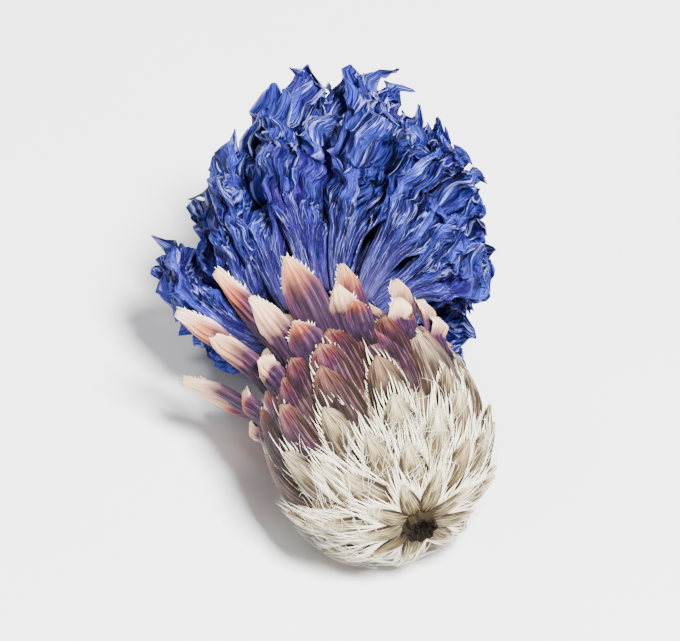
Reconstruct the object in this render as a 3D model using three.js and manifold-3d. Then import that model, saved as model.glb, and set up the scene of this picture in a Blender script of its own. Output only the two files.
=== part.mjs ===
// A dried cornflower head, picked off its stem and lying on its side.
//
// The head is built upright in a frame of its own: its axis is +Z, the scar of the stem is at z = 0,
// and turns round the axis run from +X towards +Y. The finished head is then tipped over, so that
// its +Y side faces the surface, its scar faces -Y and its tuft of florets points along +Y.
// All lengths are in millimetres and all angles in degrees.

import * as THREE from "three";
import { mergeVertices } from "three/addons/utils/BufferGeometryUtils.js";
import Module from "manifold-3d";

const wasm = await Module();
wasm.setup();

// Involucre: a round body under its scales, cut off level where the inner bracts take over.
const globeRadius = 4.3;
const globeMiddle = 4.4; // height of its widest place above the scar
const globeBelow = 4.4; // half-height of the lower half
const globeAbove = 5.3; // half-height of the upper half, were it not cut off
const globeBase = -72; // where the lower half ends, as an angle from the widest place
const globeTop = 16; // where the upper half is cut off
const cupRadius = 2.6;
const cupFloor = 4.9;
const scarRadius = 1.05;
const scarDepth = 0.95;

// Rows of scales from the scar upwards: where the root is on the body's curve, how far round the
// curve the scale reaches, how many are in the row, half its width and how far its tip stands off.
const scaleRows = [
  { root: -70, reach: 32, count: 8, half: 0.9, standOff: 0.3 },
  { root: -48, reach: 36, count: 10, half: 1.12, standOff: 0.36 },
  { root: -24, reach: 36, count: 12, half: 1.2, standOff: 0.38 },
  { root: -4, reach: 36, count: 12, half: 1.1, standOff: 0.95 },
];
const scaleScatter = { turn: 0.1, reach: 0.08, standOff: 0.25 };
const scaleSunk = 0.4; // depth of a scale's root in the body
const scaleThickness = 0.78;

// Neighbouring pieces keep this far apart.
const seatGap = 0.3;

// Inner bracts: they carry the globe's curve on over a shoulder, which a collar holds in the cup.
// Each is rooted at an angle of that curve, leaves at the start angle from the axis and bends over
// to the end angle. On one side they are longer and lean further out, by the second numbers.
const bractRings = [
  { count: 13, root: 24, sunk: 0.3, half: 0.82, length: 5.1, longer: 1.7, start: -4, end: 42, further: 18 },
  { count: 12, root: 20, sunk: 0, half: 0.78, length: 2.7, longer: 0.2, start: -14, end: 36, further: 4 },
];
const bractScatter = { turn: 0.12, end: 0.13, length: 0.09 };
const spreadTurn = 165; // the side on which they are longest
const bractThickness = 0.62;
const bractSqueeze = 0.38; // how much closer to the axis the bracts under the head are pressed
const bractYield = 10; // how much further over the bracts under the hanging petals lean
const collarOuter = cupRadius - seatGap;
const collarInner = collarOuter - 0.6;
const collarFoot = cupFloor + seatGap;
const shoulderFoot = 19.6; // the shoulder runs from just above globeTop, as an angle of the same curve
const shoulderTop = 52;
const collarTop = 8.85;

// Ray florets: whorls round a dense heart, from the lowest to the highest. The polar angle is where
// on the heart they stand, and the spread is half the width of the fan of lobes.
const whorls = [
  { count: 11, polarAngle: 76, start: 44, end: 70, length: 8.2, lobes: 5, spread: 3.3 },
  { count: 10, polarAngle: 56, start: 26, end: 40, length: 9.8, lobes: 5, spread: 3.2 },
  { count: 8, polarAngle: 44, start: 8, end: 14, length: 10.8, lobes: 4, spread: 2.6 },
];
const heartHeight = 11.3;
const heartRadius = 2.7;
const heartHalfHeight = 1.9;
const heartFoot = -42; // where the heart meets its neck, as an angle from its widest place
const floretScatter = { turn: 0.2, start: 5, end: 9, length: 0.08, sway: 14, roll: 24, cup: 1.1 };
const lobeScatter = { notch: 0.045, reach: 0.05, aside: 0.5, lift: 0.9 };
const rootSunk = 0.82; // the share of the heart's radius at which a floret is rooted
const neckRadius = collarInner - seatGap;
const neckFoot = cupFloor + seatGap;
const tubeHalf = 0.5; // half-width of a floret where it leaves the heart
const throatHalf = 1.05; // half-width where its tube ends
const throatShare = 0.4; // share of its length that is tube
const notchShare = 0.76; // share of its length where the lobes part
const notchWidth = 0.72; // share of the spread that the fan has there
const fold = 0.16; // half the depth of the folds across the fan
const floretThickness = 0.7;
const floretSqueeze = 0.1; // by what share the florets under the head lean out less
const tightTurn = 224; // the side on which the tuft has closed up
const tightness = 0.8; // and by what share its florets lean out less there

// Disc florets: a slim bundle in a bore up the middle of the heart, with lobes round its end.
const boreFoot = 10.0;
const boreRadius = 1.36;
const boreLength = 6.2;
const bundleRadius = 0.92;
const bundleShare = 0.62; // share of the bore that the bundle fills, below its lobes
const discLobes = 6;
const discLobeHalf = 0.29;
const discLobeThickness = 0.63;

// The tuft has slumped over to one side, and its petals hang lowest a little way under that side.
const slumpTurn = -20;
const slumpDrift = 1.0;
const hangTurn = 20;
const hangLean = 16; // how much further over they leave the heart, and how much further they bend
const hangBend = 50;
// On one side its neighbours in the heap have pressed it in: where that starts, and how far on it goes.
const sideTurn = 0;
const sideStart = 5.4;
const sideRoom = 3.4;

// Stem stub: what is left of the stem, in the scar.
const stubRadius = 0.66;
const stubRibs = 8;
const ribHeight = 0.07;
const stubLength = 1.0;
const stubFoot = -0.35;

// How the head lies: its axis rises by this much towards the tuft. What is lower than the top of the
// bed is pressed flatter, and what would lie below the surface is cut off flat.
const axisRise = 7;
const axisHeight = 3.9; // height of the scar's centre above the surface
const bedTop = 1.1;
const bedFloor = -0.22;

const sides = 18; // facets round a turned body
const radians = THREE.MathUtils.degToRad;
const upwards = new THREE.Vector3(0, -Math.cos(radians(axisRise)), Math.sin(radians(axisRise)));

// A repeatable draw between -1 and 1 for a pair of numbers.
function draw(index, kind) {
  const wave = Math.sin(index * 127.1 + kind * 311.7 + 74.7) * 43758.5453;
  return 2 * (wave - Math.floor(wave)) - 1;
}

function polar(radius, turn, height) {
  const angle = radians(turn);
  return new THREE.Vector3(radius * Math.cos(angle), radius * Math.sin(angle), height);
}

// How far a turn round the axis points down at the surface, from 0 to 1.
function downness(turn) {
  return Math.max(0, Math.sin(radians(turn)));
}

// How far a turn round the axis points to where the petals hang, from 0 to 1.
function hanging(turn) {
  return Math.max(0, Math.cos(radians(turn - hangTurn))) ** 2;
}

// Brings a point that stands out too far on the pressed side of the tuft back to that side.
function gather(point) {
  const direction = polar(1, sideTurn, 0);
  const past = point.dot(direction) - sideStart;
  if (past <= 0) return point;
  const gathered = sideRoom * (1 - Math.exp(-past / sideRoom));
  return point.clone().addScaledVector(direction, gathered - past);
}

// Lifts a point that is close to the surface, or under it, up to the bed of pressed petals.
function press(point) {
  const height = axisHeight + point.dot(upwards);
  if (height >= bedTop) return point;
  const room = bedTop - bedFloor;
  const pressed = bedFloor + room * Math.exp((height - bedTop) / room);
  return point.clone().addScaledVector(upwards, pressed - height);
}

function solidOf(geometry) {
  const bare = geometry.clone();
  bare.deleteAttribute("normal");
  bare.deleteAttribute("uv");
  const merged = mergeVertices(bare, 1e-4);
  return new wasm.Manifold(
    new wasm.Mesh({
      numProp: 3,
      vertProperties: new Float32Array(merged.attributes.position.array),
      triVerts: new Uint32Array(merged.index.array),
    }),
  );
}

// The solid inside a closed surface, whichever way round its triangles were listed.
function closedSolid(positions, triangles) {
  const geometry = new THREE.BufferGeometry();
  geometry.setAttribute("position", new THREE.Float32BufferAttribute(positions, 3));
  geometry.setIndex(triangles);
  const solid = solidOf(geometry);
  if (solid.volume() > 0) return solid;
  geometry.setIndex(triangles.reverse());
  return solidOf(geometry);
}

function turnedSolid(profile) {
  const points = profile.map(([radius, height]) => new THREE.Vector2(radius, height));
  return solidOf(new THREE.LatheGeometry(points, sides).rotateX(Math.PI / 2));
}

function joined(solids) {
  return solids.reduce((all, one) => all.add(one));
}

// What is left when the chips that a cut has set loose are dropped.
function largestBody(solid) {
  return solid.decompose().reduce((largest, body) => (body.volume() > largest.volume() ? body : largest));
}

// A line that leaves its root at one angle from the axis and bends over to another, in equal steps.
// It may sway round the axis, and drift to the side that the tuft has slumped to.
function bendingLine({ root, turn = 0, start = 0, end = 0, length, sway = 0, drift = 0 }) {
  const steps = 10;
  const line = [root.clone()];
  for (let step = 0; step < steps; step++) {
    const share = (step + 0.5) / steps;
    const lean = radians(start + (end - start) * share);
    const heading = polar(Math.sin(lean), turn + sway * share, Math.cos(lean));
    heading.add(polar(drift * share, slumpTurn, 0)).normalize();
    line.push(line[step].clone().addScaledVector(heading, length / steps));
  }
  return new THREE.CatmullRomCurve3(line);
}

// Directions at a share of a line: across it, level round the axis unless it is rolled, and out of
// the face that looks at the axis.
function frameAt(line, share, turn, roll = 0) {
  const heading = line.getTangentAt(share);
  const level = polar(1, turn + 90, 0);
  const face = heading.clone().cross(level).normalize();
  const across = face.clone().cross(heading).normalize();
  face.applyAxisAngle(heading, radians(roll));
  across.applyAxisAngle(heading, radians(roll));
  return { across, face };
}

// Outlines across a blade's length: the first number is in half-widths, the second in thicknesses.
const flatSection = [[-1, -0.5], [1, -0.5], [1, 0.5], [-1, 0.5]];
const keeledSection = [[0, -0.5], [1, 0], [0, 0.5], [-1, 0]];
const archedSection = [[0, -1.1], [1, -0.5], [1, 0.5], [0, -0.1], [-1, 0.5], [-1, -0.5]];
const roomySection = [[0, -1.1], [1, -0.5], [1, 0.5], [-1, 0.5], [-1, -0.5]];
const roundSection = Array.from({ length: 10 }, (_, corner) => {
  const angle = radians(36 * corner);
  return [Math.cos(angle), Math.sin(angle) / 2];
});

// A closed blade: an outline carried from station to station, and drawn in to a point at the tip.
function bladeSolid(outline, stations, tip) {
  const positions = [];
  const triangles = [];
  const corners = outline.length;
  const last = (stations.length - 1) * corners;
  for (const { point, across, face, half, thickness } of stations) {
    for (const [aside, out] of outline) {
      const corner = point.clone().addScaledVector(across, aside * half);
      positions.push(...corner.addScaledVector(face, out * thickness));
    }
  }
  positions.push(...tip);
  for (let corner = 0; corner < corners; corner++) {
    const next = (corner + 1) % corners;
    for (let row = 0; row < last; row += corners) {
      const above = row + corners;
      triangles.push(row + corner, row + next, above + next);
      triangles.push(row + corner, above + next, above + corner);
    }
    triangles.push(last + corner, last + next, last + corners);
    if (corner > 0 && next > 0) triangles.push(0, next, corner);
  }
  return closedSolid(positions, triangles);
}

// A place on the involucre's outer curve, with the direction out of it, both as radius and height.
function globeCurve(angle) {
  const lift = radians(angle);
  const halfHeight = angle < 0 ? globeBelow : globeAbove;
  const out = new THREE.Vector2(Math.cos(lift) / globeRadius, Math.sin(lift) / halfHeight).normalize();
  return {
    radius: globeRadius * Math.cos(lift),
    height: globeMiddle + halfHeight * Math.sin(lift),
    out,
  };
}

function globeBody() {
  const steps = 6;
  const curve = Array.from({ length: steps + 1 }, (_, step) => {
    const { radius, height } = globeCurve(globeBase + ((globeTop - globeBase) * step) / steps);
    return [radius, height];
  });
  return turnedSolid([
    [0, scarDepth],
    [scarRadius, scarDepth],
    [scarRadius, globeCurve(globeBase).height],
    ...curve,
    [cupRadius, globeCurve(globeTop).height],
    [cupRadius, cupFloor],
    [0, cupFloor],
  ]);
}

// One scale: it rises out of the body, lies along it and ends in a point that stands off a little.
function scaleSolid(row, rowNumber, index) {
  const seed = rowNumber * 20 + index;
  const turn = (360 / row.count) * (index + 0.5 * (rowNumber % 2) + scaleScatter.turn * draw(seed, 1));
  const reach = row.reach * (1 + scaleScatter.reach * draw(seed, 2));
  const standOff = row.standOff * (1 + scaleScatter.standOff * draw(seed, 3));
  const across = polar(1, turn + 90, 0);
  const station = (share, offset, width) => {
    const { radius, height, out } = globeCurve(row.root + reach * share);
    return {
      point: polar(radius + out.x * offset, turn, height + out.y * offset),
      face: polar(out.x, turn, out.y),
      across,
      half: row.half * width,
      thickness: scaleThickness,
    };
  };
  const root = station(0, -scaleSunk, 0.75);
  const widest = station(0.45, 0.1, 1);
  const shoulder = station(0.78, 0.75 * standOff, 0.66);
  return bladeSolid(keeledSection, [root, widest, shoulder], station(1, standOff, 0).point);
}

function involucre() {
  const scales = scaleRows.flatMap((row, rowNumber) =>
    Array.from({ length: row.count }, (_, index) => scaleSolid(row, rowNumber, index)),
  );
  return largestBody(joined([globeBody(), ...scales]).subtract(innerBracts(seatGap)));
}

// The collar in the cup and the shoulder on it; with room above 0, the space that they take up with
// a gap of that size round them.
function shoulder(room) {
  const steps = 4;
  const curve = Array.from({ length: steps + 1 }, (_, step) => {
    const { radius, height, out } = globeCurve(shoulderFoot + ((shoulderTop - shoulderFoot) * step) / steps);
    return [radius + room * out.x, height + room * out.y];
  });
  return turnedSolid([
    [collarInner - room, collarFoot - room],
    [collarOuter + room, collarFoot - room],
    [collarOuter + room, globeCurve(shoulderFoot).height - room],
    [curve[0][0], globeCurve(shoulderFoot).height - room],
    ...curve,
    [collarInner - room, collarTop + room],
    [collarInner - room, collarFoot - room],
  ]);
}

// One bract; with room above 0, the space that it takes up with a gap of that size round it.
function bractSolid(ring, ringNumber, index, room) {
  const seed = 50 + ringNumber * 20 + index;
  const turn = (360 / ring.count) * (index + bractScatter.turn * draw(seed, 11));
  const side = Math.cos(radians(turn - spreadTurn));
  const squeeze = 1 - bractSqueeze * downness(turn);
  const lower = bractYield * hanging(turn);
  const end = (ring.end + ring.further * side) * (1 + bractScatter.end * draw(seed, 12));
  const { radius, height, out } = globeCurve(ring.root);
  const line = bendingLine({
    root: polar(radius - ring.sunk * out.x, turn, height - ring.sunk * out.y),
    turn,
    start: ring.start,
    end: (end + lower) * squeeze,
    length: (ring.length + ring.longer * side) * (1 + bractScatter.length * draw(seed, 13)),
  });
  const station = (share, width) => ({
    ...frameAt(line, share, turn),
    point: press(line.getPointAt(share)),
    half: ring.half * width + room,
    thickness: bractThickness + 2 * room,
  });
  const stations = [station(0, 0.7), station(0.35, 0.88), station(0.7, 1), station(0.9, 0.92)];
  stations[0].point.addScaledVector(line.getTangentAt(0), -room);
  const tip = press(line.getPointAt(1)).addScaledVector(line.getTangentAt(1), 1.6 * room);
  return bladeSolid(room ? roomySection : archedSection, stations, tip);
}

function innerBracts(room = 0) {
  const bracts = bractRings.flatMap((ring, ringNumber) =>
    Array.from({ length: ring.count }, (_, index) => bractSolid(ring, ringNumber, index, room)),
  );
  return largestBody(joined([shoulder(room), ...bracts]));
}

// The dense heart of the tuft, on a neck that stands in the collar.
function heart() {
  const steps = 6;
  const dome = Array.from({ length: steps + 1 }, (_, step) => {
    const angle = radians(heartFoot + ((90 - heartFoot) * step) / steps);
    const radius = step < steps ? heartRadius * Math.cos(angle) : 0;
    return [radius, heartHeight + heartHalfHeight * Math.sin(angle)];
  });
  return turnedSolid([
    [0, neckFoot],
    [neckRadius, neckFoot],
    [neckRadius, heartHeight - 1.1 * heartHalfHeight],
    ...dome,
  ]);
}

// The line of one ray floret, from inside the heart to the end of its longest lobe.
function floretLine(whorl, seed, turn) {
  const closed = Math.max(0, Math.cos(radians(turn - tightTurn))) ** 2;
  const squeeze = 1 - floretSqueeze * downness(turn) - tightness * closed;
  const lift = radians(90 - whorl.polarAngle);
  return bendingLine({
    root: polar(
      rootSunk * heartRadius * Math.cos(lift),
      turn,
      heartHeight + rootSunk * heartHalfHeight * Math.sin(lift),
    ),
    turn,
    start: (whorl.start + floretScatter.start * draw(seed, 2)) * squeeze + hangLean * hanging(turn),
    end: (whorl.end + floretScatter.end * draw(seed, 3)) * squeeze + hangBend * hanging(turn),
    length: whorl.length * (1 + floretScatter.length * draw(seed, 4)),
    sway: floretScatter.sway * draw(seed, 5),
    drift: slumpDrift,
  });
}

// One ray floret: a trumpet, dried flat and folded like a fan, its end split into pointed lobes.
function floretSolid(whorl, whorlNumber, index) {
  const seed = 100 + whorlNumber * 30 + index;
  const turn = (360 / whorl.count) * (index + 0.37 * whorlNumber + floretScatter.turn * draw(seed, 1));
  const line = floretLine(whorl, seed, turn);
  const roll = floretScatter.roll * draw(seed, 6);
  const cup = floretScatter.cup * draw(seed, 7);
  const ridge = index % 2 ? fold : -fold;
  const place = (share, aside, lift) => {
    const { across, face } = frameAt(line, share, turn, roll);
    const cupped = lift + cup * (aside / whorl.spread) ** 2;
    const spot = line.getPointAt(share).addScaledVector(across, aside).addScaledVector(face, cupped);
    return { spot: press(gather(spot)), face };
  };
  const tubeRow = (share, half) => {
    return [place(share, -half, 0), place(share, 0, 1.6 * ridge), place(share, half, 0)];
  };
  const tube = [
    ...tubeRow(0, tubeHalf),
    ...tubeRow(throatShare / 2, (tubeHalf + throatHalf) / 2.4),
    ...tubeRow(throatShare, throatHalf),
  ];
  const fan = [];
  const tips = [];
  for (let column = 0; column <= 2 * whorl.lobes; column++) {
    const spot = column / whorl.lobes - 1; // from -1 to 1 across the fan
    const columnSeed = seed * 11 + column;
    const bow = 0.1 * spot * spot; // the fan's outer lobes start and end further back
    const ofLobe = column % 2 === 1;
    const notch = notchShare - bow + (ofLobe ? 0.03 : lobeScatter.notch * draw(columnSeed, 8));
    fan.push(place(notch, spot * whorl.spread * notchWidth, ofLobe ? ridge : -ridge));
    if (!ofLobe) continue;
    const reach = Math.min(1, 0.95 - 1.4 * bow + lobeScatter.reach * draw(columnSeed, 9));
    const aside = spot * whorl.spread + lobeScatter.aside * draw(columnSeed, 10);
    tips.push(place(reach, aside, lobeScatter.lift * draw(columnSeed, 12)).spot);
  }
  return sheetSolid(tube, fan, tips);
}

// A closed sheet of even thickness: rows of three spots up its tube, a wider row across its fan, and
// a tip over each second spot of that row.
function sheetSolid(tube, fan, tips) {
  const positions = [];
  const add = (spot) => positions.push(...spot) / 3 - 1;
  const edge = [...tube, ...fan].map(({ spot, face }) => [
    add(spot.clone().addScaledVector(face, floretThickness / 2)),
    add(spot.clone().addScaledVector(face, -floretThickness / 2)),
  ]);
  const throat = tube.length - 3;
  const fanLeft = tube.length;
  const fanMiddle = fanLeft + (fan.length - 1) / 2;
  const fanRight = fanLeft + fan.length - 1;
  const triangles = [];
  const cover = (a, b, c) => {
    triangles.push(edge[a][0], edge[b][0], edge[c][0], edge[a][1], edge[c][1], edge[b][1]);
  };
  const wall = (a, b) => {
    triangles.push(edge[b][0], edge[a][0], edge[a][1], edge[b][0], edge[a][1], edge[b][1]);
  };
  wall(0, 1);
  wall(1, 2);
  for (let row = 0; row < throat; row += 3) {
    for (const corner of [row, row + 1]) {
      cover(corner, corner + 1, corner + 4);
      cover(corner, corner + 4, corner + 3);
    }
    wall(row + 3, row);
    wall(row + 2, row + 5);
  }
  cover(throat, throat + 1, fanMiddle);
  cover(throat + 1, throat + 2, fanMiddle);
  for (let column = fanLeft; column < fanMiddle; column++) cover(throat, column + 1, column);
  for (let column = fanMiddle; column < fanRight; column++) cover(throat + 2, column + 1, column);
  wall(fanLeft, throat);
  wall(throat + 2, fanRight);
  tips.forEach((tip, lobe) => {
    const [left, middle, right] = [0, 1, 2].map((step) => edge[fanLeft + 2 * lobe + step]);
    const end = add(tip);
    triangles.push(left[0], middle[0], end, middle[0], right[0], end);
    triangles.push(middle[1], left[1], end, right[1], middle[1], end);
    triangles.push(left[1], left[0], end, right[0], right[1], end);
  });
  return closedSolid(positions, triangles);
}

function rayFlorets() {
  const florets = whorls.flatMap((whorl, whorlNumber) =>
    Array.from({ length: whorl.count }, (_, index) => floretSolid(whorl, whorlNumber, index)),
  );
  const tuft = joined(florets).subtract(innerBracts(seatGap)).add(heart());
  return largestBody(tuft.subtract(boreTube(boreRadius, 0, 1)));
}

// A line up the middle of the bore that slumps over with the tuft.
const boreLine = bendingLine({
  root: new THREE.Vector3(0, 0, boreFoot),
  length: boreLength,
  drift: slumpDrift / 2,
});

// A round tube along a part of that line.
function boreTube(radius, from, to) {
  const stations = [0, 0.4, 0.75, 1].map((step) => {
    const share = from + (to - from) * step;
    const point = boreLine.getPointAt(share);
    return { ...frameAt(boreLine, share, 0), point, half: radius, thickness: 2 * radius };
  });
  const tip = boreLine.getPointAt(to).addScaledVector(boreLine.getTangentAt(to), 0.2);
  return bladeSolid(roundSection, stations, tip);
}

// The bundle of disc florets, with short pointed lobes round its end, all inside the bore's width.
function discFlorets() {
  const lobes = Array.from({ length: discLobes }, (_, index) => {
    const turn = (360 / discLobes) * index;
    const station = (share, offset) => ({
      ...frameAt(boreLine, share, turn),
      point: boreLine.getPointAt(share).add(polar(offset, turn, 0)),
      half: discLobeHalf,
      thickness: discLobeThickness,
    });
    const tip = station(0.94 + 0.04 * draw(index, 21), 0.55).point;
    return bladeSolid(flatSection, [station(bundleShare - 0.04, 0.4), station(0.84, 0.5)], tip);
  });
  const foot = (1.1 * seatGap) / boreLength;
  return joined([boreTube(bundleRadius, foot, bundleShare), ...lobes]);
}

function stemStub() {
  const outline = Array.from({ length: stubRibs * 2 }, (_, corner) => {
    const { x, y } = polar(stubRadius + (corner % 2 ? -ribHeight : ribHeight), (180 / stubRibs) * corner, 0);
    return new THREE.Vector2(x, y);
  });
  const section = new THREE.Shape(outline);
  const stub = new THREE.ExtrudeGeometry(section, { depth: stubLength, bevelEnabled: false });
  return solidOf(stub.translate(0, 0, stubFoot));
}

// What lies below the surface, in the head's own frame.
function belowSurface() {
  const size = 80;
  const block = new THREE.BoxGeometry(size, size, size).translate(0, 0, -size / 2 - axisHeight);
  return solidOf(block.rotateX(radians(90 - axisRise)));
}

function meshOf(name, solid, color, roughness) {
  const { vertProperties, triVerts } = solid.getMesh();
  const geometry = new THREE.BufferGeometry();
  geometry.setAttribute("position", new THREE.BufferAttribute(vertProperties, 3));
  geometry.setIndex(new THREE.BufferAttribute(triVerts, 1));
  geometry.computeVertexNormals();
  const mesh = new THREE.Mesh(geometry, new THREE.MeshStandardMaterial({ color, roughness, metalness: 0 }));
  mesh.name = name;
  return mesh;
}

const below = belowSurface();
const head = new THREE.Group();
head.add(
  meshOf("stem_stub", stemStub(), 0xa6a184, 0.85),
  meshOf("involucre", involucre().subtract(below), 0xdcd5c4, 0.85),
  meshOf("inner_bracts", innerBracts().subtract(below), 0x9a7590, 0.8),
  meshOf("ray_florets", rayFlorets().subtract(below), 0x3c4fae, 0.75),
  meshOf("disc_florets", discFlorets(), 0x54407e, 0.75),
);
head.rotation.x = -radians(90 - axisRise);
head.position.z = axisHeight;

const flower = new THREE.Group();
flower.add(head);

// The origin is on the surface, under the middle of the head.
const middle = new THREE.Box3().setFromObject(flower, true).getCenter(new THREE.Vector3());
head.position.x = -middle.x;
head.position.y = -middle.y;

export default flower;
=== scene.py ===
# Looks for a dried cornflower head that lies on its side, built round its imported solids.
# Shapes are worked out upright in millimetres: the head's axis is +Z, the scar of its stem is at
# height 0, and turns round the axis are in degrees from +X towards +Y. placed() then lays them down.

import bpy
import numpy as np
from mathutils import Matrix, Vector


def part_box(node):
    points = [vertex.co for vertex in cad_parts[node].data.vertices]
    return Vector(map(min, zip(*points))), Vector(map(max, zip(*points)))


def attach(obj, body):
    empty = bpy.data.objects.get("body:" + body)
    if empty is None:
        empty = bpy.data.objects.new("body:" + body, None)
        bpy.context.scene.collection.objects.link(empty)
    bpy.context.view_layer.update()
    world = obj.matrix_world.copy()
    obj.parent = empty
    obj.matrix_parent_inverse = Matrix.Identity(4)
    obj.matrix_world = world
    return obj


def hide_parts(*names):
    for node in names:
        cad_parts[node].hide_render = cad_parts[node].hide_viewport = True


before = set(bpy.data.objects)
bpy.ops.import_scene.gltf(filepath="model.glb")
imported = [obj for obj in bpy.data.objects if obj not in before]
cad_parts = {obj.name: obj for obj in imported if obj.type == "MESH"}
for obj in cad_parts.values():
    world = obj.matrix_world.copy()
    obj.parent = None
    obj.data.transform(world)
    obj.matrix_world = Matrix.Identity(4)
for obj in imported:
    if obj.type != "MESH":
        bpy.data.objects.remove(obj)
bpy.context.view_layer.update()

# How the head lies, as its solids do.
lie = {
    "axisRise": 7,  # degrees that the axis rises towards the tuft
    "axisHeight": 3.9,  # of the scar's middle above the surface
    "stubMiddle": 0.15,  # height of the stem stub's middle along the axis
    "bedTop": 1.1,  # what would lie lower than this is pressed flatter
    "bedFloor": 0.04,
    "firmTop": 0.35,  # the same for the globe, which hardly gives
    "slumpTurn": -20,  # the side that the tuft has slumped to
    "slumpDrift": 1.0,
    "hangTurn": 20,  # where its petals hang lowest
}
sinRise = np.sin(np.radians(lie["axisRise"]))
cosRise = np.cos(np.radians(lie["axisRise"]))
stubLow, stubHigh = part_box("stem_stub")
headX = 500 * (stubLow.x + stubHigh.x)
headY = 500 * (stubLow.y + stubHigh.y) - cosRise * lie["stubMiddle"]


# A repeatable draw from -1 to 1: the fraction left by a very fast sine, doubled, less one.
def draw(index, kind):
    wave = np.sin(index * 127.1 + kind * 311.7 + 74.7) * 43758.5453
    return 2 * (wave - np.floor(wave)) - 1


# Smoothed step: 3t² - 2t³ of t held between 0 and 1.
def smooth(t):
    t = np.clip(t, 0, 1)
    return t * t * (3 - 2 * t)


# Radius times the turn's cosine and sine, and the height.
def polar(radius, turn, height):
    angle = np.radians(turn)
    return np.stack(np.broadcast_arrays(radius * np.cos(angle), radius * np.sin(angle), height), -1)


def unit(vectors):
    return vectors / np.maximum(np.linalg.norm(vectors, axis=-1, keepdims=True), 1e-9)


# Smooth noise from -1 to 1: draws at whole places, blended between them by the smoothed step.
def ruffle(x, y, seed):
    left, low = np.floor(x), np.floor(y)
    over, up = smooth(x - left), smooth(y - low)

    def corner(i, j):
        return draw((left + i) * 1.37 + (low + j) * 5.93, seed)

    bottom = corner(0, 0) * (1 - over) + corner(1, 0) * over
    top = corner(0, 1) * (1 - over) + corner(1, 1) * over
    return bottom * (1 - up) + top * up


# How far a turn points down at the surface: its sine, where that is above 0.
def downness(turn):
    return np.maximum(0, np.sin(np.radians(turn)))


# How far a turn points to where the petals hang: the cosine's square on that side.
def hanging(turn):
    return np.maximum(0, np.cos(np.radians(turn - lie["hangTurn"]))) ** 2


# Presses what is near the surface onto a bed: below the bed's top, the height falls off as e^-h.
def pressed(points, top=lie["bedTop"]):
    upwards = np.array([0, -cosRise, sinRise])
    height = lie["axisHeight"] + points @ upwards
    room = top - lie["bedFloor"]
    lifted = lie["bedFloor"] + room * np.exp(np.minimum(0, height - top) / room)
    return points + np.where(height < top, lifted - height, 0)[..., None] * upwards


# Tips the head over by 90 degrees less its rise, sets it on the surface and turns mm into metres.
def placed(points):
    x, y, z = np.moveaxis(points, -1, 0)
    rowY = y * sinRise + z * cosRise + headY
    rowZ = -y * cosRise + z * sinRise + lie["axisHeight"]
    return np.stack([x + headX, rowY, rowZ], -1) / 1000


# The quads of a grid of vertex numbers, each listed along its row first.
def quads(index):
    corners = [index[:-1, :-1], index[:-1, 1:], index[1:, 1:], index[1:, :-1]]
    return np.stack(corners, -1).reshape(-1, 4)


# The same faces for each of several copies of a shape that has that many vertices.
def repeated(faces, vertices, copies):
    return (faces[None] + vertices * np.arange(copies)[:, None, None]).reshape(-1, faces.shape[1])


# A shape is its points, its face lists, its sheet coordinates and its named values, one a point.
def shapeOf(points, faces, sheet, **values):
    grid = points.shape[:-1]
    sheet = np.stack(np.broadcast_arrays(*sheet, points[..., 0])[:2], -1)
    values = {name: np.broadcast_to(value, grid).ravel() for name, value in values.items()}
    return {"points": points.reshape(-1, 3), "faces": faces, "sheet": sheet.reshape(-1, 2), "values": values}


# Closed sheets round middle surfaces given as (..., rows, columns, 3): each point moves half the
# thickness to both sides along the surface's normal, and a rim joins the two covers. A point is at
# an aside from -1 to 1 across its sheet and at a share from 0 to 1 along it.
def closedSheets(points, thickness, aside, share, **values):
    rows, columns = points.shape[-3:-1]
    normal = unit(np.cross(np.gradient(points, axis=-2), np.gradient(points, axis=-3)))
    offset = normal * np.broadcast_to(thickness, points.shape[:-1])[..., None] / 2
    both = np.stack([points + offset, points - offset], -4)
    index = np.arange(2 * rows * columns).reshape(2, rows, columns)
    front, back = index
    loop = np.concatenate([front[0, :-1], front[:-1, -1], front[-1, :0:-1], front[:0:-1, 0]])
    after = np.roll(loop, -1)
    rim = np.stack([after, loop, loop + rows * columns, after + rows * columns], -1)
    one = np.concatenate([quads(front), quads(back)[:, ::-1], rim])
    faces = repeated(one, 2 * rows * columns, points.size // (3 * rows * columns))

    def onBoth(value):
        return np.broadcast_to(value, points.shape[:-1])[..., None, :, :]

    values = {name: onBoth(value) for name, value in values.items()}
    return shapeOf(both, [faces], (onBoth((aside + 1) / 2), onBoth(share)), **values)


# Closed tubes: an ellipse of half-widths wide and deep carried along paths (..., rows, 3), with
# across and face for its two directions, a flat cap at the foot and another at the tip.
def closedTubes(path, wide, deep, across, face, sides, **values):
    angle = np.linspace(0, 2 * np.pi, sides, endpoint=False)
    rows = path.shape[-2]
    wide, deep = [np.broadcast_to(half, path.shape[:-1])[..., None, None] for half in (wide, deep)]
    ring = across[..., None, :] * wide * np.cos(angle)[:, None]
    ring = ring + face[..., None, :] * deep * np.sin(angle)[:, None]
    index = np.arange(rows * sides).reshape(rows, sides)
    wall = quads(np.concatenate([index, index[:, :1]], 1))
    copies = path.size // (3 * rows)
    faces = [repeated(part, rows * sides, copies) for part in (wall, index[:1, ::-1], index[-1:])]
    sheet = (angle / (2 * np.pi), np.linspace(0, 1, rows)[:, None])
    values = {name: value[..., None] for name, value in values.items()}
    return shapeOf(path[..., None, :] + ring, faces, sheet, **values)


# Closed tubes along paths, flat against the given outward directions.
def strands(path, outwards, wide, flatness, sides, tone):
    heading = unit(np.gradient(path, axis=-2))
    across = unit(np.cross(heading, outwards))
    return closedTubes(path, wide, flatness * wide, across, np.cross(across, heading), sides, tone=tone)


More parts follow.
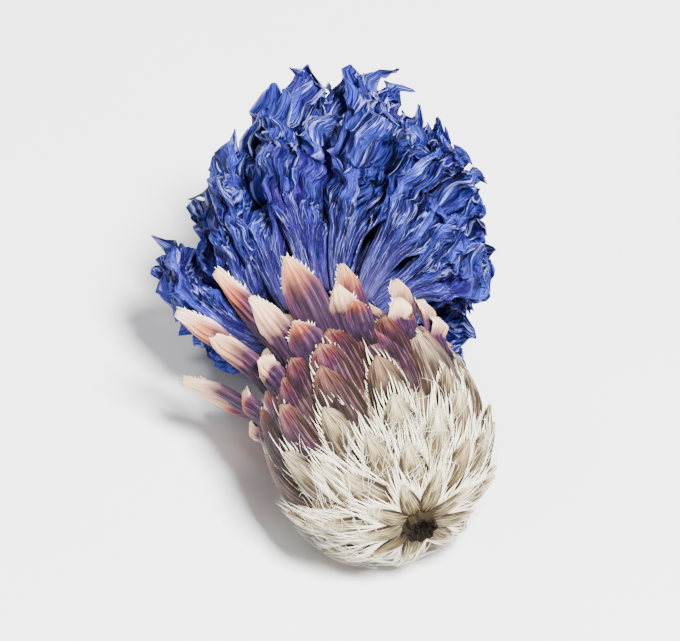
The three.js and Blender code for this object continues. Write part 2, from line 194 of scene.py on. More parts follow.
# A turned body: a profile of (radius, height) pairs that starts and ends on the axis, carried round
# it, with displace(points, turns, rows) free to move it before it is closed at its two poles.
def turnedShape(profile, columns, displace, **values):
    turn = np.linspace(0, 360, columns, endpoint=False)
    ring = polar(profile[1:-1, 0:1], turn[None], profile[1:-1, 1:2])
    rows = len(ring)
    share = np.linspace(0, 1, rows)
    ring = displace(ring, turn[None], share[:, None]).reshape(-1, 3)
    points = np.concatenate([[[0, 0, profile[0, 1]]], ring, [[0, 0, profile[-1, 1]]]])
    index = 1 + np.arange(rows * columns).reshape(rows, columns)
    wall = quads(np.concatenate([index, index[:, :1]], 1))
    foot = np.stack([np.zeros(columns, int), np.roll(index[0], -1), index[0]], -1)
    top = np.stack([np.full(columns, rows * columns + 1), index[-1], np.roll(index[-1], -1)], -1)
    around = np.concatenate([[0], np.tile(turn / 360, rows), [0]])
    upwards = np.concatenate([[0], np.repeat(share, columns), [1]])
    return shapeOf(points, [wall, foot, top], (around, upwards), **values)


# Makes one Blender object of several shapes. The faces of each shape are numbered after the last.
def makePiece(name, shapes, material, node=None):
    points = np.concatenate([shape["points"] for shape in shapes])
    starts = np.cumsum([0] + [len(shape["points"]) for shape in shapes])
    faces = [part + start for shape, start in zip(shapes, starts) for part in shape["faces"]]
    corners = np.concatenate([part.ravel() for part in faces])
    sizes = np.concatenate([np.full(len(part), part.shape[1]) for part in faces])
    sheet = np.concatenate([shape["sheet"] for shape in shapes])[corners]
    mesh = bpy.data.meshes.new(name)
    mesh.vertices.add(len(points))
    mesh.vertices.foreach_set("co", placed(points).astype(np.float32).ravel())
    mesh.loops.add(len(corners))
    mesh.loops.foreach_set("vertex_index", corners.astype(np.int32))
    mesh.polygons.add(len(sizes))
    mesh.polygons.foreach_set("loop_start", (np.cumsum(sizes) - sizes).astype(np.int32))
    mesh.polygons.foreach_set("use_smooth", np.ones(len(sizes), bool))
    mesh.uv_layers.new(name="sheet").data.foreach_set("uv", sheet.astype(np.float32).ravel())
    for key in shapes[0]["values"]:
        values = np.concatenate([shape["values"][key] for shape in shapes])
        mesh.attributes.new(key, "FLOAT", "POINT").data.foreach_set("value", values.astype(np.float32))
    mesh.update(calc_edges=True)
    mesh.materials.append(material)
    piece = bpy.data.objects.new(name, mesh)
    bpy.context.scene.collection.objects.link(piece)
    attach(piece, "root")
    if node:
        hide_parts(node)
    print(name, int(np.sum(sizes - 2)), "triangles")


# Lines that leave their roots at one angle from the axis and bend over to another, swaying round the
# axis and drifting to the slumped side: the unit headings of equal steps, summed. Returns the points
# and the headings at the given number of stations, and the turns.
def bendLine(root, turn, start, end, length, sway=0.0, drift=0.0, stations=61):
    share = np.linspace(0, 1, stations)

    def headings(share):
        lean = np.radians(start[:, None] + (end - start)[:, None] * share)
        heading = polar(np.sin(lean), turn[:, None] + np.reshape(sway, (-1, 1)) * share, np.cos(lean))
        return unit(heading + drift * share[:, None] * polar(1, lie["slumpTurn"], 0.0))

    steps = headings((share[:-1] + share[1:]) / 2) * np.reshape(length, (-1, 1, 1)) / (stations - 1)
    points = root[:, None] + np.concatenate([0 * steps[:, :1], np.cumsum(steps, 1)], 1)
    return points, headings(share), turn


# Places on lines at shares (count, ...) of them, blended straight between their stations, and three
# directions there: the heading; across; and face, which is square to the heading and to the level
# round the axis, and looks at the axis. A roll turns across and face about the heading.
def linePlace(line, share, roll=0.0):
    points, headings, turn = line
    last = points.shape[1] - 1
    station = np.clip(share, 0, 1) * last
    low = np.minimum(np.floor(station).astype(int), last - 1)
    rest = (station - low)[..., None]
    which = np.arange(len(points)).reshape(-1, *[1] * (share.ndim - 1))

    def blended(values):
        return values[which, low] * (1 - rest) + values[which, low + 1] * rest

    heading = blended(headings)
    face = unit(np.cross(heading, polar(1.0, turn[which] + 90, 0.0)))
    across = np.cross(face, heading)
    angle = np.radians(roll)[..., None]
    rolledFace = face * np.cos(angle) + np.cross(heading, face) * np.sin(angle)
    rolledAcross = across * np.cos(angle) + np.cross(heading, across) * np.sin(angle)
    return blended(points), heading, rolledAcross, rolledFace


# Materials. Colours are red, green and blue from 0 to 255.

def linear(red, green, blue):
    share = np.array([red, green, blue]) / 255
    return (*np.where(share <= 0.04045, share / 12.92, ((share + 0.055) / 1.055) ** 2.4), 1.0)


# A new material with fixed values on its shader's sockets, whose names have _ for a space.
def startMaterial(name, **fixed):
    material = bpy.data.materials.new(name)
    material.use_nodes = True
    for socket, value in fixed.items():
        material.node_tree.nodes["Principled BSDF"].inputs[socket.replace("_", " ")].default_value = value
    return material, material.node_tree


# Adds a node. An input is another node's socket, a tuple that is a colour, or a plain value.
def addNode(tree, kind, inputs, **settings):
    node = tree.nodes.new("ShaderNode" + kind)
    for key, value in settings.items():
        setattr(node, key, value)
    for key, value in inputs.items():
        if isinstance(value, bpy.types.NodeSocket):
            tree.links.new(value, node.inputs[key])
        else:
            node.inputs[key].default_value = linear(*value) if isinstance(value, tuple) else value
    return node


def attribute(tree, name):
    return addNode(tree, "Attribute", {}, attribute_name=name).outputs["Fac"]


def bodyPlace(tree):
    return addNode(tree, "TexCoord", {}).outputs["Object"]


def sheetPlace(tree, scaleU, scaleV):
    place = addNode(tree, "UVMap", {}, uv_map="sheet").outputs["UV"]
    scale = Vector((scaleU, scaleV, 1))
    return addNode(tree, "Mapping", {"Vector": place, "Scale": scale}).outputs["Vector"]


# One of the sheet's own coordinates: X is across it, and Y is along it, both from 0 to 1.
def sheetAxis(tree, axis):
    place = addNode(tree, "UVMap", {}, uv_map="sheet").outputs["UV"]
    return addNode(tree, "SeparateXYZ", {"Vector": place}).outputs[axis]


# How far a place is from the sheet's middle line, from 0 to 1 at its edges.
def fromMiddle(tree):
    return mathNode("ABSOLUTE", rise(sheetAxis(tree, "X"), 0.0, 1.0, -1.0, 1.0))


def noise(place, scale, detail=3.0, roughness=0.55, distortion=0.0):
    inputs = {"Vector": place, "Scale": scale, "Detail": detail, "Roughness": roughness}
    return addNode(place.id_data, "TexNoise", {**inputs, "Distortion": distortion}).outputs["Fac"]


# Sharp ridges: 1 where the noise passes its middle, falling straight to 0 at the given distance.
def ridged(place, detail, distortion, width):
    away = mathNode("SUBTRACT", noise(place, 1.0, detail, 0.6, distortion), 0.5)
    return rise(mathNode("ABSOLUTE", away), 0.0, width, 1.0, 0.0)


# A blend of colours at stops, each given as its place and its colour.
def ramp(factor, *stops):
    node = addNode(factor.id_data, "ValToRGB", {"Fac": factor})
    while len(node.color_ramp.elements) < len(stops):
        node.color_ramp.elements.new(0.5)
    for element, (place, *colour) in zip(node.color_ramp.elements, stops):
        element.position = place
        element.color = linear(*colour)
    return node.outputs["Color"]


# A value's way from low to high, held between them, as one from first to last.
def rise(value, low, high, first=0.0, last=1.0):
    inputs = {"Value": value, "From Min": low, "From Max": high, "To Min": first, "To Max": last}
    return addNode(value.id_data, "MapRange", inputs).outputs["Result"]


# Two colours, mixed or multiplied as far as the factor says.
def mixed(factor, first, second, blend="MIX"):
    inputs = {0: factor, 6: first, 7: second}
    tree = next(value.id_data for value in inputs.values() if isinstance(value, bpy.types.NodeSocket))
    return addNode(tree, "Mix", inputs, data_type="RGBA", blend_type=blend).outputs[2]


def mathNode(operation, first, second=0.0, third=0.0):
    return addNode(first.id_data, "Math", {0: first, 1: second, 2: third}, operation=operation).outputs[0]


# Ends a material with its colour and, where there is one, its bump's height, strength and depth.
def finished(material, colour, height=None, strength=0.0, depth=0.0):
    tree = material.node_tree
    shader = tree.nodes["Principled BSDF"]
    tree.links.new(colour, shader.inputs["Base Color"])
    if height is not None:
        bump = addNode(tree, "Bump", {"Height": height, "Strength": strength, "Distance": depth})
        tree.links.new(bump.outputs["Normal"], shader.inputs["Normal"])
    return material


# Camera, floor and light. Azimuth 0 looks at the stem's scar, and 90 is at +X.

view = {
    "azimuth": -20,
    "elevation": 40,
    "distance": 0.24,
    "lens": 300,
    "lookAt": (-0.0003, -0.0002, 0.0062),
    "nearest": 0.005,
    "furthest": 10,
}
studio = {
    "floorHalf": 0.6,
    # Soft boxes: azimuth and elevation from the head, distance, size and watts.
    "boxes": {
        "key": {"azimuth": 14, "elevation": 58, "distance": 0.34, "size": 0.08, "watts": 6.5},
        "fill": {"azimuth": -80, "elevation": 34, "distance": 0.40, "size": 0.2, "watts": 0.3},
        "back": {"azimuth": -170, "elevation": 48, "distance": 0.36, "size": 0.16, "watts": 0.7},
    },
    "sky": 0.22,
}


# Puts a camera or light at its azimuth, elevation and distance from a middle, looking back at it.
def hold(name, data, place, middle=(0, 0, 0)):
    turn, lift = np.radians([place["azimuth"], place["elevation"]])
    away = Vector((np.sin(turn) * np.cos(lift), -np.cos(turn) * np.cos(lift), np.sin(lift)))
    holder = bpy.data.objects.new(name, data)
    holder.location = Vector(middle) + away * place["distance"]
    holder.rotation_euler = (-away).to_track_quat("-Z", "Y").to_euler()
    bpy.context.scene.collection.objects.link(holder)
    return holder


def makeCamera():
    data = bpy.data.cameras.new("camera")
    data.lens = view["lens"]
    data.clip_start = view["nearest"]
    data.clip_end = view["furthest"]
    bpy.context.scene.camera = hold("camera", data, view, view["lookAt"])


def makeStudio():
    half = studio["floorHalf"]
    corners = [(-half, -half, 0), (half, -half, 0), (half, half, 0), (-half, half, 0)]
    mesh = bpy.data.meshes.new("floor")
    mesh.from_pydata(corners, [], [(0, 1, 2, 3)])
    floor = bpy.data.objects.new("floor", mesh)
    bpy.context.scene.collection.objects.link(floor)
    material, tree = startMaterial("pale floor", Roughness=0.75)
    mottle = noise(bodyPlace(tree), 30.0)
    mesh.materials.append(finished(material, ramp(mottle, (0.3, 240, 240, 241), (0.7, 244, 244, 245))))
    for name, box in studio["boxes"].items():
        light = bpy.data.lights.new(name, "AREA")
        light.size = box["size"]
        light.energy = box["watts"]
        hold(name, light, box)
    world = bpy.data.worlds.new("sky")
    world.use_nodes = True
    world.node_tree.nodes["Background"].inputs["Color"].default_value = (1, 1, 1, 1)
    world.node_tree.nodes["Background"].inputs["Strength"].default_value = studio["sky"]
    bpy.context.scene.world = world
    print("camera, floor and light")


# Involucre: a round body, rows of scales over it, and a comb of white teeth round each scale

globe = {
    "radius": 4.3,
    "middle": 4.4,  # height of its widest place
    "below": 4.4,  # half-height of the lower half
    "above": 5.3,  # half-height of the upper half, were it not cut off
    "base": -72,  # where the lower half ends, as an angle from the widest place
    "top": 16,  # where the upper half is cut off
    "cupRadius": 2.6,
    "cupFloor": 4.9,
    "scarRadius": 1.05,
    "scarDepth": 0.95,
    # Rows of the solids' scales: root on the body's curve, reach along it, count, half-width, and how
    # far the tip stands off. The rows between them are worked out from their neighbours.
    "rows": [
        (-70, 32, 8, 0.9, 0.3),
        (-48, 36, 10, 1.12, 0.36),
        (-24, 36, 12, 1.2, 0.38),
        (-4, 36, 12, 1.1, 0.95),
    ],
    "lowest": (-83, 26, 9, 0.6, 0.16),  # small ones round the scar
    "highest": (8, 32, 13, 0.8, 0.9),  # the ones that lead over to the bracts
    "sunk": 0.4,
    "keel": 0.2,  # how far a scale's middle stands out from its edges
    "sheetThickness": 0.13,
    "teeth": 17,  # on each side of a scale
    "firstTooth": 0.26,  # share of the edge where they start
    "toothLength": 0.98,
    "toothHalf": 0.052,
    "strapFrom": 2.3,  # row from which scales turn into straps
    "oliveFrom": 0.8,  # and from which they turn olive-brown
    "mauveTurn": 215,  # side on which the mauve comes down lowest
}


# The body's outer curve: an ellipse's cosine and sine, flatter above its middle. Returns the radius,
# the height and the direction out of it.
def globeCurve(angle):
    lift = np.radians(angle)
    halfHeight = np.where(angle < 0, globe["below"], globe["above"])
    out = unit(np.stack([np.cos(lift) / globe["radius"], np.sin(lift) / halfHeight], -1))
    return globe["radius"] * np.cos(lift), globe["middle"] + halfHeight * np.sin(lift), out


# A place at an offset out of the curve.
def offCurve(radius, height, out, turn, offset):
    return polar(radius + out[..., 0] * offset, turn, height + out[..., 1] * offset)


def globeShape():
    radius, height, _ = globeCurve(np.linspace(globe["base"], globe["top"], 48))
    scar, depth = globe["scarRadius"], globe["scarDepth"]
    steps = ((0, 1), (0.5, 1), (0.9, 0.98), (1, 0.85), (1, 0.45))
    foot = [(scar * outward, depth * upward) for outward, upward in steps]
    cup = [(globe["cupRadius"], height[-1]), (globe["cupRadius"], globe["cupFloor"]), (0, globe["cupFloor"])]
    profile = np.concatenate([foot, np.stack([radius, height], -1), cup])

    # Shallow lengthwise furrows and dents, by noise round and along the body.
    def displace(points, turn, share):
        dent = 0.05 * ruffle(turn / 9, share * 7, 41) + 0.04 * ruffle(turn / 3.75, share * 22, 42)
        return pressed(points * (1 + dent[..., None] * np.array([0.35, 0.35, 0.1])), lie["firmTop"])

    return turnedShape(profile, 96, displace, tone=0.0)


# Every scale's numbers by name, each (count, 1, 1). Between two rows of the solids' scales there is
# one more, half-way in each number. Mauve ones are longer and slimmer.
def scaleTable():
    def rowOf(level, row, firstSeed, shift, jitter):
        root, reach, count, half, standOff = row
        index = np.arange(count)
        seed = firstSeed + index
        turn = 360 / count * (index + shift + jitter * draw(seed, 1))
        reach = reach * (1 + 0.08 * draw(seed, 2))
        standOff = standOff * (1 + 0.25 * draw(seed, 3))
        return np.stack(np.broadcast_arrays(level, seed, turn, root, reach, half, standOff))

    rows = globe["rows"]
    found = [rowOf(number, row, number * 20, 0.5 * (number % 2), 0.1) for number, row in enumerate(rows)]
    for number in range(len(rows) - 1):
        middle = 0.5 * (np.array(rows[number]) + np.array(rows[number + 1]))
        middle[2] = np.ceil(middle[2])
        found.append(rowOf(number + 0.5, middle, 700 + number * 20, 0.25, 0.15))
    found.append(rowOf(-0.3, globe["lowest"], 800, 0.3, 0.15))
    found.append(rowOf(3.6, globe["highest"], 820, 0.4, 0.12))
    names = ("row", "seed", "turn", "root", "reach", "half", "standOff")
    scales = dict(zip(names, np.concatenate(found, 1)[..., None, None]))
    strap, mauve, oliveAndShade = turning(scales["row"], scales["turn"])
    scales["reach"] *= 1 + 0.5 * mauve * np.clip((3.3 - scales["row"]) / 1.3, 0, 1)
    scales["half"] *= 1 - 0.2 * mauve
    scales["standOff"] *= 1 - 0.3 * mauve
    return {**scales, "strap": strap, "mauve": mauve, "oliveAndShade": oliveAndShade}


# How far scales have turned into straps, how far they are mauve and how far olive-brown, from 0 to 1:
# by their row, and by the cosine to the mauve side. The olive-brown comes down lower on the other side,
# where it is partly painted shade on that side of the globe.
def turning(row, turn):
    cosine = np.cos(np.radians(turn - globe["mauveTurn"]))
    side, away = 0.5 + 0.5 * cosine, 0.5 - 0.5 * cosine
    mauve = smooth((row - globe["strapFrom"] + 1.8 * side) / 1.1) * smooth(0.2 + 1.1 * side)
    strap = np.maximum(smooth((row - globe["strapFrom"]) / 0.8), mauve)
    return strap, mauve, smooth((row - globe["oliveFrom"] + 1.6 * away) / 1.7) * (1 - mauve)


# A place on scales, at a share u of their length and an aside a in half-widths. The half-width is
# (0.78 + 0.4 u)(1 - u^2.1)^0.85 on a scale and (0.92 + 0.2 u)(1 - u^5)^0.6 on a strap, the middle
# stands out as a keel by 1 - a², and the whole rises as u^1.5 from its sunk root to its free tip.
# A place past the edge takes its width and rise from the share edgeShare of the edge that it grows
# from, and is the given outward and lift away from it.
def scalePlace(scales, share, aside, edgeShare=None, outward=0.0, lift=0.0):
    seed, strap = scales["seed"], scales["strap"]
    radius, height, out = globeCurve(scales["root"] + scales["reach"] * share)
    u = share if edgeShare is None else edgeShare
    width = (0.78 + 0.4 * u) * np.clip(1 - u**2.1, 0, 1) ** 0.85 * (1 - strap)
    width = width + (0.92 + 0.2 * u) * np.clip(1 - u**5, 0, 1) ** 0.6 * strap
    rising = (scales["standOff"] + 0.1) * np.clip((u - 0.3) / 0.7, 0, 1) ** 1.5
    rising = rising - globe["sunk"] * (1 - np.minimum(u / 0.45, 1)) ** 1.5
    keel = globe["keel"] * (1 - aside**2) * (1 - 0.5 * u**3)
    nerves = 0.016 * np.cos(7 * np.pi * aside) * (1 - u)
    edge = 0.07 * draw(seed, 4) * aside * np.abs(aside) + 0.06 * np.abs(aside) ** 3 * draw(seed, 5)
    offset = rising + keel + nerves + edge + lift
    sideways = scales["half"] * width * aside + np.sign(aside) * outward
    curled = np.degrees(sideways / np.maximum(radius + offset, 0.8))
    tilt = 2.5 * draw(seed, 6) * u
    return pressed(offCurve(radius, height, out, scales["turn"] + curled + tilt, offset), lie["firmTop"])


# Scales are thinner towards their edges, as a³, and towards their tips, as u⁴.
def scaleShapes(scales):
    share = np.linspace(0, 0.995, 17)[:, None]
    aside = np.linspace(-1, 1, 13)
    thickness = globe["sheetThickness"] * (1 - 0.45 * np.abs(aside) ** 3) * (1 - 0.4 * share**4)
    values = {"tone": draw(scales["seed"], 8), "mauve": scales["mauve"], "oliveAndShade": scales["oliveAndShade"]}
    return [closedSheets(scalePlace(scales, share, aside), thickness, aside, share, **values)]


# Teeth of the comb: each is a flat tapering blade that leaves the scale's edge outwards and forwards
# and bends to the front, its steps outwards falling off and those along growing as the square. They
# are longest at 0.6 of the scale's length, and short or thin on mauve, olive and upper scales.
def combShapes(scales):
    number = np.arange(2 * globe["teeth"])[:, None]
    side = np.where(number % 2, 1.0, -1.0)
    seed = scales["seed"] * 31 + number
    first = globe["firstTooth"] + 0.73 * (number // 2) / (globe["teeth"] - 1)
    first = np.clip(first + 0.012 * draw(seed, 51), 0, 0.99)
    length = globe["toothLength"] * (0.5 + 0.5 * np.sin(np.pi * np.clip(first - 0.1, 0.1, 0.8)))
    length = length * (1 + 0.4 * draw(seed, 52))
    grown = 1 - 0.92 * scales["mauve"] * smooth((1 - first) / 0.2)
    grown = grown * (1 - 0.8 * smooth((scales["row"] - 2.6) / 0.4))
    length = length * grown * (1 - 0.68 * scales["oliveAndShade"])
    step = np.linspace(0, 1, 6)
    spread = np.radians(28 - 22 * first + 13 * draw(seed, 53))
    outward = length * (np.sin(spread) * step - 0.2 * step**2)
    forward = length * (np.cos(spread) * step + 0.2 * step**2)
    lift = 0.04 + (0.13 + 0.11 * draw(seed, 54)) * step**1.3 * length / 0.6
    share = first + forward / (np.radians(scales["reach"]) * globe["middle"])
    path = scalePlace(scales, share, 0.97 * side, first, outward, lift)
    taper = np.clip(1 - step, 0.03, 1) ** 0.7
    wide = globe["toothHalf"] * taper * (grown * (1 + 0.25 * draw(seed, 55)))
    return [strands(path, unit(path - np.array([0, 0, globe["middle"]])), wide, 0.3, 4, draw(seed, 56))]


cobweb = {
    "threads": 130,
    "half": 0.007,
    "start": -48,  # where they start, as an angle of the globe's curve, and how far from that
    "scatter": 18,
    "lowest": -71,
    "reach": 34,  # degrees round or along the globe that a thread runs
    "waver": 5,
    "lift": 0.4,  # above the body's curve, over the scales
}


# Cobweb threads: each starts low on the globe and runs up over it, with a slow wave, at a height that
# touches the scales at its ends and bridges the hollows between them.
def cobwebShapes():
    number = np.arange(cobweb["threads"])[:, None]
    step = np.linspace(0, 1, 14)
    turn = 180 * draw(number, 61)
    angle = cobweb["start"] + cobweb["scatter"] * draw(number, 62)
    course = np.pi / 2 + 1.1 * draw(number, 63)
    reach = cobweb["reach"] * (0.6 + 0.4 * draw(number, 64))
    waves = step * (1.3 + 0.7 * draw(number, 65)) + draw(number, 66)
    waver = cobweb["waver"] * np.sin(2 * np.pi * waves)
    angle = np.maximum(angle + reach * np.sin(course) * step + 0.6 * waver, cobweb["lowest"])
    radius, height, out = globeCurve(angle)
    turn = turn + (reach * np.cos(course) * step + waver) * globe["radius"] / np.maximum(radius, 1.2)
    lift = cobweb["lift"] + 0.1 * draw(number, 67)
    lift = lift + 0.12 * np.sin(np.pi * step) * (1 + draw(number, 68))
    path = pressed(offCurve(radius, height, out, turn, lift), lie["firmTop"])
    wide = cobweb["half"] * (1 + 0.4 * draw(number, 69))
    return [strands(path, polar(out[..., 0], turn, out[..., 1]), wide, 1, 3, draw(number, 70))]


def skinMaterial():
    material, tree = startMaterial("globe skin", Roughness=0.8, Specular_IOR_Level=0.2)
    grain = noise(bodyPlace(tree), 1400.0, 5.0)
    upwards = sheetAxis(tree, "Y")
    colour = ramp(upwards, (0.02, 40, 30, 20), (0.07, 112, 100, 72), (0.2, 100, 84, 56), (0.8, 86, 66, 50))
    colour = mixed(rise(grain, 0.3, 0.75, 0.0, 0.5), colour, (150, 134, 100))
    return finished(material, colour, grain, 0.6, 0.00008)


def scaleMaterial():
    material, tree = startMaterial("papery scale", Roughness=0.75, Specular_IOR_Level=0.2)
    aside, lengthwise = fromMiddle(tree), sheetAxis(tree, "Y")
    mauve = attribute(tree, "mauve")
    blotch = noise(bodyPlace(tree), 900.0, 4.0)
    fibres = noise(sheetPlace(tree, 26, 3), 1.0, 3.0)
    # Both ramps are darkest at the foot, which shows in the gaps under the row above: partly the scale's own
    # brown, partly painted shade in those gaps.
    oliveAndShade = ramp(
        lengthwise,
        (0.2, 78, 62, 38),
        (0.5, 150, 138, 98),
        (0.8, 208, 198, 160),
        (1.0, 246, 238, 214),
    )
    plum = ramp(
        lengthwise,
        (0.1, 46, 30, 30),
        (0.35, 46, 23, 42),
        (0.7, 62, 27, 58),
        (0.88, 120, 54, 62),
        (1.0, 230, 178, 150),
    )
    # Olive scales darken towards the foot: their own brown, and painted shade on the side away from the
    # mauve.
    shaded = mathNode("MULTIPLY", attribute(tree, "oliveAndShade"), rise(lengthwise, 1.0, 0.62, 0.1, 0.92))
    body = mixed(mauve, mixed(shaded, oliveAndShade, (74, 54, 34)), plum)
    pale = mathNode("MULTIPLY", rise(blotch, 0.5, 0.75, 0.0, 0.35), rise(mauve, 0.0, 1.0, 1.0, 0.2))
    body = mixed(pale, body, (214, 206, 176))
    # The brown margin, the scale's own dark edge and partly painted shade in the gaps beside it, then the
    # thin hem outside it
    brownEdgeAndShade = mathNode("MULTIPLY", rise(aside, 0.42, 0.72, 0.0, 0.94), rise(lengthwise, 0.97, 0.75))
    body = mixed(brownEdgeAndShade, body, (46, 30, 20))
    body = mixed(rise(aside, 0.88, 0.98, 0.0, 0.9), body, mixed(mauve, (244, 238, 222), (112, 70, 84)))
    # Dark and light fibres
    body = mixed(rise(fibres, 0.48, 0.6, 0.0, 0.9), body, (98, 76, 54), "MULTIPLY")
    light = mixed(mauve, (236, 228, 200), (150, 104, 128))
    body = mixed(rise(fibres, 0.44, 0.34, 0.0, 0.5), body, light)
    tones = ramp(rise(attribute(tree, "tone"), -1, 1), (0.0, 180, 166, 142), (1.0, 255, 252, 244))
    return finished(material, mixed(1.0, body, tones, "MULTIPLY"), fibres, 0.8, 0.00012)


def combMaterial():
    material, tree = startMaterial("silver comb", Roughness=0.6, Specular_IOR_Level=0.3)
    colour = ramp(sheetAxis(tree, "Y"), (0.0, 206, 190, 154), (0.3, 244, 236, 212), (1.0, 255, 251, 238))
    speckle = noise(bodyPlace(tree), 2200.0)
    colour = mixed(rise(speckle, 0.4, 0.8, 0.0, 0.25), colour, (196, 184, 156))
    tones = ramp(rise(attribute(tree, "tone"), -1, 1), (0.0, 232, 226, 210), (0.5, 255, 255, 250))
    return finished(material, mixed(1.0, colour, tones, "MULTIPLY"))


def webMaterial():
    material, tree = startMaterial("cobweb", Roughness=0.55)
    speckle = noise(bodyPlace(tree), 1500.0)
    return finished(material, ramp(speckle, (0.3, 222, 216, 200), (0.7, 250, 248, 240)))


def makeInvolucre(skin, comb):
    scales = scaleTable()
    makePiece("globe", [globeShape()], skin, "involucre")
    makePiece("globe_scales", scaleShapes(scales), scaleMaterial(), "involucre")
    makePiece("globe_combs", combShapes(scales), comb)
    makePiece("globe_cobweb", cobwebShapes(), webMaterial())


# Inner bracts: grooved straps with hooded, boat-shaped tips

bracts = {
    # Rings: count, shift round in steps, root as an angle of the globe's curve, depth of the root in
    # it, half-width, length and how much longer on the spread side, angle from the axis at the root,
    # and at the end with how much further on the spread side. The solids have the first two; the
    # third fills the gaps between them, and the last closes in round the foot of the tuft.
    "rings": [
        (13, 0, 24, 0.3, 0.78, 5.1, 1.7, -4, 42, 18),
        (12, 0, 20, 0.0, 0.72, 2.7, 0.2, -14, 36, 4),
        (10, 0.4, 22, 0.25, 0.62, 4.2, 2.0, -8, 40, 18),
        (10, 0.2, 33, 0.1, 0.85, 3.7, 0.4, -34, 10, 6),
    ],
    "spreadTurn": 165,
    "squeeze": 0.38,  # how much closer to the axis the bracts under the head are pressed
    "yield": 10,  # how much further over those under the hanging petals lean
    "arch": 0.36,  # how far a bract's middle stands out from its edges
    "tipArch": 0.2,  # and how much further it does in its boat-shaped tip
    "fold": 0.3,  # how far the tip's edges curl in
    "hood": 0.12,  # how far the tip leans in
    "sheetThickness": 0.15,
    "widthScatter": 0.18,
    "twist": 26,
    "teeth": 14,  # round a tip, half of them on each side
    "firstTooth": 0.8,  # shares of the length between which they stand
    "lastTooth": 0.99,
    # The shoulder that they grow from: angles of the globe's curve, and its hole
    "shoulderFoot": 19.6,
    "shoulderTop": 52,
    "collarTop": 8.85,
    "collarInner": 1.7,
    "shoulderThickness": 0.3,
}


# The lines of a ring's bracts, as in the solids, with their seeds as (count, 1, 1) and half-width.
def bractLines(number):
    count, shift, root, sunk, half, length, longer, start, end, further = bracts["rings"][number]
    index = np.arange(count)
    seed = 50 + number * 20 + index
    turn = 360 / count * (index + shift + 0.12 * draw(seed, 11))
    side = np.cos(np.radians(turn - bracts["spreadTurn"]))
    squeeze = 1 - bracts["squeeze"] * downness(turn)
    lower = bracts["yield"] * hanging(turn)
    radius, height, out = globeCurve(root)
    line = bendLine(
        polar(radius - sunk * out[0], turn, height - sunk * out[1]),
        turn,
        start + 0 * turn,
        ((end + further * side) * (1 + 0.13 * draw(seed, 12)) + lower) * squeeze,
        (length + longer * side) * (1 + 0.12 * draw(seed, 13)),
    )
    return seed[:, None, None], half, line


# A strap at shares of its length. The taper is (1 - t^1.8)^0.75 of t from 0 where the tip starts to 1
# at its end, and the half-width is that times a quarter sine that is full at 0.7 of the length. The
# hood grows as a square over the last 0.28, and the sway is a sine that grows along the strap.
def strapForm(seed, share):
    end = 0.64 + 0.06 * draw(seed, 14)
    narrowing = np.clip((share - end) / (1.003 - end), 0, 1)
    taper = np.clip(1 - narrowing**1.8, 0, 1) ** 0.75
    width = (0.66 + 0.34 * np.sin(np.pi / 2 * np.minimum(share / 0.7, 1))) * taper
    width = width * (1 + bracts["widthScatter"] * draw(seed, 15))
    hood = np.clip((share - 0.72) / 0.28, 0, 1) ** 2
    sway = 0.09 * np.sin(np.pi * (share * 3 + draw(seed, 17))) * share
    lean = bracts["hood"] * hood * (0.6 + 0.4 * draw(seed, 18))
    return taper, width, hood, sway, lean, bracts["twist"] * draw(seed, 16) * share


# The shoulder: a sheet along the globe's curve, then in to the edge of its hole.
def shoulderShape():
    radius, height, _ = globeCurve(np.linspace(bracts["shoulderFoot"], bracts["shoulderTop"], 12))
    radius = np.concatenate([radius, np.linspace(radius[-1], bracts["collarInner"], 6)[1:]])
    height = np.concatenate([height, np.linspace(height[-1], bracts["collarTop"], 6)[1:]])
    thickness = bracts["shoulderThickness"]
    turn = np.linspace(0, 360, 97)[None]
    points = polar(radius[:, None] - thickness / 2, turn, height[:, None] - thickness / 2)
    return closedSheets(pressed(points[None]), thickness, 0.0, 0.5, tone=0.0)


# A strap's section is an arch 1 - a², higher in the tip by a bell curve, with five grooves as a cosine
# and edges that curl in towards the tip as a⁴.
def bractShapes(number):
    seed, half, line = bractLines(number)
    share = np.linspace(0, 1, 46)[None, :, None]
    aside = np.linspace(-1, 1, 21)
    taper, width, hood, sway, lean, twist = strapForm(seed, share)
    middle, _, across, face = linePlace(line, share, twist)
    nick = 0.05 * ruffle(share * 17, 0 * share + np.sign(aside) * 5, seed) * np.abs(aside) ** 6
    sideways = half * width * aside * (1 - 0.16 * hood - nick)
    grooves = 0.045 * np.cos(5 * np.pi * aside) * (1 - aside**4) * smooth(share / 0.2) * (1 - 0.7 * hood)
    ripple = 0.05 * ruffle(aside * 3, share * 9, seed) + sway
    arch = bracts["arch"] + bracts["tipArch"] * np.exp(-(((share - 0.84) / 0.1) ** 2))
    outward = arch * (1 - aside**2) * taper + grooves + ripple - bracts["fold"] * hood * aside**4 - lean
    spot = pressed(middle + across * sideways[..., None] - face * outward[..., None])
    thickness = bracts["sheetThickness"] * (1 - 0.5 * np.abs(aside) ** 4) * (1 + 0.5 * hood)
    values = {"tone": draw(seed, 19), "whitening": draw(seed, 20)}
    return closedSheets(spot, thickness, aside, share, **values)


